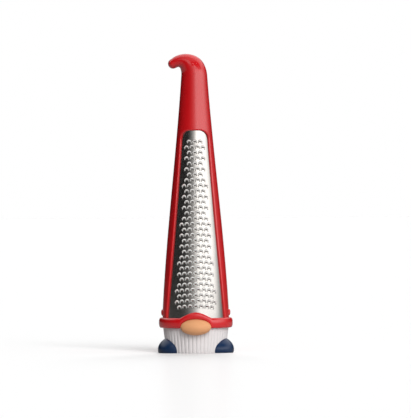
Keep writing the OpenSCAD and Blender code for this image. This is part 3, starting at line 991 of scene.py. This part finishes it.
def tongue_outline():
    """Outline of a tongue with rounded top corners: across and up."""
    half, top = TONGUE_W / 2 - TONGUE_CORNER, TONGUE_TOP_Z - TONGUE_CORNER
    quarter = [cos_sin(a) for a in spread(0, 90, ARC_STEPS)]
    left = [(-half - TONGUE_CORNER * c, top + TONGUE_CORNER * s) for c, s in quarter]
    middle = [(y, TONGUE_TOP_Z) for y in spread(-half, half, ARC_STEPS)[1:-1]]
    right = [(half + TONGUE_CORNER * s, top + TONGUE_CORNER * c) for c, s in quarter]
    ends = [(y, TONGUE_LOW_Z) for y in (-TONGUE_W / 2, TONGUE_W / 2)]
    return ends[:1] + left + middle + right + ends[1:]


def tongue(side):
    """Spring tongue at one side of the collar, curved like the hat's foot."""
    b = Builder()

    def ring(depth, inset):
        r = TONGUE_FACE_R - depth
        row = []
        for y, z in tongue_outline():
            across = y * (1 - inset / (TONGUE_W / 2))
            row.append((side * math.sqrt(r * r - across * across), across, z - inset))
        return row

    rows = b.skin([ring(0, TONGUE_BEVEL), ring(TONGUE_BEVEL, 0), ring(TONGUE_T, 0)], closed=True)
    b.faces.append(tuple(rows[0]))
    b.faces.append(tuple(rows[-1]))
    return b.mesh("tongue")


def button(side):
    """Round, domed button on a tongue."""
    b = Builder()
    z0 = TONGUE_TOP_Z - BUTTON_R
    dome = [cos_sin(a) for a in spread(0, 90, DOME_STEPS)[1:-1]]
    profile = [(BUTTON_R, -TONGUE_T / 2), (BUTTON_R, 0.0)]
    profile += [(BUTTON_R * c, BUTTON_H * s) for c, s in dome]
    circle = [cos_sin(a) for a in full_turn(BUTTON_STEPS)]
    made = b.skin([[(side * (TONGUE_FACE_R + out), r * c, z0 + r * s) for c, s in circle]
                   for r, out in profile], closed=True)
    b.fan(made[0], (side * (TONGUE_FACE_R - TONGUE_T / 2), 0, z0), closed=True)
    b.fan(made[-1], (side * (TONGUE_FACE_R + BUTTON_H), 0, z0), closed=True)
    return b.mesh("button")


def brim_collar(material):
    """Collar ring with its sleeve, and with a tongue and a button at each side."""
    b = Builder()
    beside = ARCH_ANGLE + ARCH_MARGIN
    front = spread(-beside, beside, ARCH_STEPS)
    rear = spread(beside, 360 - beside, REAR_STEPS)[1:-1]
    sections = [[around(r, a, z) for r, z in collar_section(a if a <= 180 else a - 360)]
                for a in front + rear]
    rows = b.skin(sections, closed=True)
    b.join(rows[-1], rows[0], closed=True)
    sides = (-1, 1)
    mesh = joined([b.mesh("collar")] + [tongue(s) for s in sides] + [button(s) for s in sides])
    return piece("collar_ring", mesh, material, "brim_collar", "base")


# Nose and boots

def carrier():
    """Solid of the cup, and of the niche above it, that the nose and the boots lean on."""
    top = RIM_Z + 2 * COLLAR_H
    return lathe([(AXIS_R, CARRIER_LOW), (cup_r(CARRIER_LOW) + SEAT_GAP, CARRIER_LOW),
                  (cup_r(RIM_Z) + SEAT_GAP, RIM_Z), (NICHE_R + SEAT_GAP, RIM_Z),
                  (NICHE_R + SEAT_GAP, top), (AXIS_R, top)], CARRIER_STEPS)


def nose(material):
    """Egg-shaped nose whose back follows the cup and the niche."""
    b = Builder()
    circle = [cos_sin(a) for a in full_turn(NOSE_STEPS)]

    def ring(size, y):
        return [(NOSE_W / 2 * size * c, y, NOSE_Z + NOSE_H / 2 * size * s) for c, s in circle]

    rows = []
    for a in spread(0, 90, BALL_STEPS)[1:]:
        c, s = cos_sin(a)
        rows.append(ring(s, -NOSE_Y - NOSE_H / 2 * c))
    rows.append(ring(1.0, -NOSE_Y + NOSE_ROOT))
    made = b.skin(rows, closed=True)
    b.fan(made[0], (0, -NOSE_Y - NOSE_H / 2, NOSE_Z), closed=True)
    b.fan(made[-1], (0, -NOSE_Y + NOSE_ROOT, NOSE_Z), closed=True)
    mesh = carve(b.mesh("nose"), carrier())
    return piece("round_nose", mesh, material, "nose", "base")


def boot(side, material):
    """Domed boot with a bevelled sole, cut to lean on the cup's side."""
    waist = BOOT_H * BOOT_WAIST_SHARE
    dome = [cos_sin(a) for a in spread(0, 90, BALL_STEPS)[:-1]]
    profile = [(AXIS_R, 0), (BOOT_R - BOOT_BEVEL, 0), (BOOT_R - BOOT_BEVEL / 4, BOOT_BEVEL)]
    profile += [(BOOT_R * c, waist + (BOOT_H - waist) * s) for c, s in dome]
    profile.append((AXIS_R, BOOT_H))
    mesh = lathe(profile, TURN_STEPS)
    mesh.transform(Matrix.Translation(Vector((side * BOOT_X, -BOOT_FORWARD, 0)) * MM))
    mesh = carve(mesh, carrier())
    name = "left" if side < 0 else "right"
    return piece(f"{name}_boot", mesh, material, f"boot_{name}", "base")


# Camera

# The photo: its size, the pixels of the grater's axis and of the ground, and its scale
IMAGE_W, IMAGE_H = 411, 418
AXIS_X_PX = 195.1
GROUND_PX = 352.5
MM_PER_PX = 0.85
# Width of the camera's sensor, and turn about its line of sight
SENSOR_W = 36.0
CAMERA_ROLL = 0.365
# Distance and far end of the view, in metres
CAMERA_DISTANCE = 3.9
CLIP_END = 200


def add_camera():
    data = bpy.data.cameras.new("camera")
    data.sensor_width = SENSOR_W
    data.lens = SENSOR_W * CAMERA_DISTANCE / (IMAGE_H * MM_PER_PX * MM)
    data.clip_end = CLIP_END
    camera = bpy.data.objects.new("camera", data)
    x = (IMAGE_W / 2 - AXIS_X_PX) * MM_PER_PX * MM
    z = (GROUND_PX - IMAGE_H / 2) * MM_PER_PX * MM
    level = Matrix.Rotation(math.radians(90), 4, "X")
    roll = Matrix.Rotation(math.radians(CAMERA_ROLL), 4, "Y")
    camera.matrix_world = Matrix.Translation((x, -CAMERA_DISTANCE, z)) @ roll @ level
    bpy.context.scene.collection.objects.link(camera)
    bpy.context.scene.camera = camera


# Floor

# Half the floor's width
FLOOR_HALF = 60000.0
# Colour of the floor in the light that it throws back, near the grater and beyond the table's edge,
# and the distances, in metres, between which it changes
FLOOR_NEAR, FLOOR_FAR = 0.62, 0.07
TABLE_NEAR, TABLE_FAR = 0.2, 0.45
# Its colour as the camera sees it, white where no shadow falls, and as gloss and glass see it
FLOOR_SHOWN = 0.98
FLOOR_GLOSS = 0.3
# Share and roughness of the floor's sheen, in which the grater's foot is mirrored
FLOOR_SHEEN = 0.12
FLOOR_ROUGH = 0.22


def floor_material():
    material = bpy.data.materials.new("pale_floor")
    graph = Graph(material)
    camera, seen = graph.seen_ray()
    place = graph.add("ShaderNodeTexCoord", {}).outputs["Object"]
    distance = graph.add("ShaderNodeVectorMath", {0: place}, operation="LENGTH").outputs["Value"]
    thrown = graph.ranged(distance, TABLE_NEAR, TABLE_FAR, FLOOR_NEAR, FLOOR_FAR)
    white = graph.ranged(camera, 0, 1, FLOOR_GLOSS, FLOOR_SHOWN)
    colour = graph.ranged(seen, 0, 1, thrown, white)
    diffuse = graph.add("ShaderNodeBsdfDiffuse", {"Color": colour})
    sheen = graph.add("ShaderNodeBsdfGlossy", {"Roughness": FLOOR_ROUGH})
    surface = graph.add("ShaderNodeMixShader", {"Fac": FLOOR_SHEEN, 1: diffuse.outputs[0],
                                                2: sheen.outputs[0]})
    graph.add("ShaderNodeOutputMaterial", {"Surface": surface.outputs[0]})
    return material


def add_floor():
    """Pale floor that the camera sees white, with the grater's shadow and a faint mirror image."""
    b = Builder()
    f = FLOOR_HALF
    b.faces.append(tuple(b.row([(-f, -f, 0), (f, -f, 0), (f, f, 0), (-f, f, 0)])))
    floor = loose_object("floor", b.mesh("floor"))
    floor.data.materials.append(floor_material())


# Light

# Wall of soft light seen in the grater's steel: azimuth from the camera's side towards +X, and
# strength; then the elevations between which it stands, and its soft edge
WALL_LIGHT = [(-180, 0.01), (-60, 0.01), (-42, 0.04), (-30, 0.12), (-18, 0.3), (-7, 0.6), (1, 0.95),
              (10, 1.85), (16, 2.1), (36, 2.15), (56, 2.15), (74, 2.0), (88, 1.5), (100, 0.8),
              (114, 0.25), (140, 0.02), (180, 0.01)]
WALL_LOW, WALL_HIGH, WALL_EDGE = 1.4, 24.0, 3.0
# Round soft light in front, to the left and above: its place, its radius and its soft edge
SPOT_AZIMUTH, SPOT_ELEVATION, SPOT_RADIUS, SPOT_EDGE = -24.0, 38.0, 12.0, 6.0
SPOT_LIGHT = 1.0
# Light from above: the elevation at which it starts, its soft edge and its strength
CEILING_LOW, CEILING_EDGE, CEILING_LIGHT = 54.0, 10.0, 0.45
# Soft lamps that gloss doesn't show: azimuth, elevation, spread and strength of the one in front,
# which throws the shadow, and of the one behind
LAMPS = {"key": (17.0, 36.0, 26.0, 2.2), "back": (172.0, 44.0, 40.0, 1.6)}
# Azimuths to each side between which the white backdrop sets in for gloss and glass
BACKDROP_FROM, BACKDROP_FULL = 164, 175
# The same for its upper part, which reaches farther round to the sides, then the elevations between
# which that sets in, and its strength, which is a little above white
UPPER_FROM, UPPER_FULL, UPPER_LOW, UPPER_HIGH = 66, 92, 15, 28
UPPER_LIGHT = 1.2


def to_degrees(graph, radians):
    return graph.calc("MULTIPLY", radians, 180 / math.pi)


def wall_light(graph, azimuth, elevation):
    """The wall's strength by azimuth, within its band of elevation."""
    band = graph.calc("SUBTRACT", graph.rising(elevation, WALL_LOW, WALL_EDGE),
                      graph.rising(elevation, WALL_HIGH, WALL_EDGE))
    return graph.calc("MULTIPLY", graph.ramp(azimuth, WALL_LIGHT), band)


def spot_light(graph, direction):
    """The spot's strength by the angle between a direction and the spot's middle."""
    level, height = cos_sin(SPOT_ELEVATION)
    inputs = {0: direction, 1: around(level, SPOT_AZIMUTH, height)}
    toward = graph.add("ShaderNodeVectorMath", inputs, operation="DOT_PRODUCT").outputs["Value"]
    outer, inner = (cos_sin(SPOT_RADIUS + e)[0] for e in (SPOT_EDGE, -SPOT_EDGE))
    return graph.calc("MULTIPLY", graph.ranged(toward, outer, inner, curve="SMOOTHSTEP"), SPOT_LIGHT)


def studio_light(graph, direction, azimuth, elevation):
    """Strength of the wall, the ceiling and the spot together."""
    above = graph.rising(elevation, CEILING_LOW, CEILING_EDGE)
    ceiling = graph.calc("MULTIPLY", above, CEILING_LIGHT)
    wall = wall_light(graph, azimuth, elevation)
    return graph.calc("ADD", graph.calc("ADD", wall, ceiling), spot_light(graph, direction))


def backdrop(graph, azimuth, elevation):
    """Where the white backdrop is shown instead of the studio's light, and its strength."""
    camera, seen = graph.seen_ray()
    turn = graph.calc("ABSOLUTE", azimuth)
    side = graph.ranged(turn, UPPER_FROM, UPPER_FULL, curve="SMOOTHSTEP")
    height = graph.ranged(elevation, UPPER_LOW, UPPER_HIGH, curve="SMOOTHSTEP")
    upper = graph.calc("MULTIPLY", side, height)
    rear = graph.ranged(turn, BACKDROP_FROM, BACKDROP_FULL, curve="SMOOTHSTEP")
    behind = graph.calc("MULTIPLY", seen, graph.calc("MAXIMUM", rear, upper))
    extra = graph.calc("MULTIPLY", graph.calc("MULTIPLY", seen, upper), UPPER_LIGHT - 1)
    return graph.calc("MAXIMUM", camera, behind), graph.calc("ADD", extra, 1.0)


def add_world():
    """Soft studio lights all round, behind which the camera sees white."""
    world = bpy.data.worlds.new("studio")
    bpy.context.scene.world = world
    graph = Graph(world)
    direction = graph.add("ShaderNodeTexCoord", {}).outputs["Generated"]
    x, y, z = graph.add("ShaderNodeSeparateXYZ", {0: direction}).outputs
    azimuth = to_degrees(graph, graph.calc("ARCTAN2", x, graph.calc("MULTIPLY", y, -1.0)))
    elevation = to_degrees(graph, graph.calc("ARCSINE", z))
    shown, white = backdrop(graph, azimuth, elevation)
    shaders = [graph.add("ShaderNodeBackground", {"Strength": strength, "Color": (1, 1, 1, 1)})
               for strength in (studio_light(graph, direction, azimuth, elevation), white)]
    choice = graph.add("ShaderNodeMixShader", {0: shown, 1: shaders[0].outputs[0],
                                               2: shaders[1].outputs[0]})
    graph.add("ShaderNodeOutputWorld", {"Surface": choice.outputs[0]})


def add_lamps():
    for name, (azimuth, elevation, width, strength) in LAMPS.items():
        data = bpy.data.lights.new(name, "SUN")
        data.angle = math.radians(width)
        data.energy = strength
        lamp = bpy.data.objects.new(name, data)
        turn = Matrix.Rotation(math.radians(azimuth), 4, "Z")
        lamp.matrix_world = turn @ Matrix.Rotation(math.radians(90 - elevation), 4, "X")
        lamp.visible_glossy = False
        bpy.context.scene.collection.objects.link(lamp)


def main():
    bpy.context.scene.view_settings.view_transform = "Standard"
    add_camera()
    add_world()
    add_lamps()
    add_floor()
    red, white, skin, navy = (moulded_plastic(f"{name}_plastic", *look)
                              for name, look in PLASTICS.items())
    # The teeth's pale steel is a painted highlight for the light their domes reflect
    rolled, painted_highlight = (rolled_steel(f"{name}_steel", *look) for name, look in STEELS.items())
    beard_cup(white)
    brim_collar(red)
    nose(skin)
    for side in (-1, 1):
        boot(side, navy)
    hat_front(red)
    hat_rear(red)
    grater_plate(rolled, painted_highlight)


main()
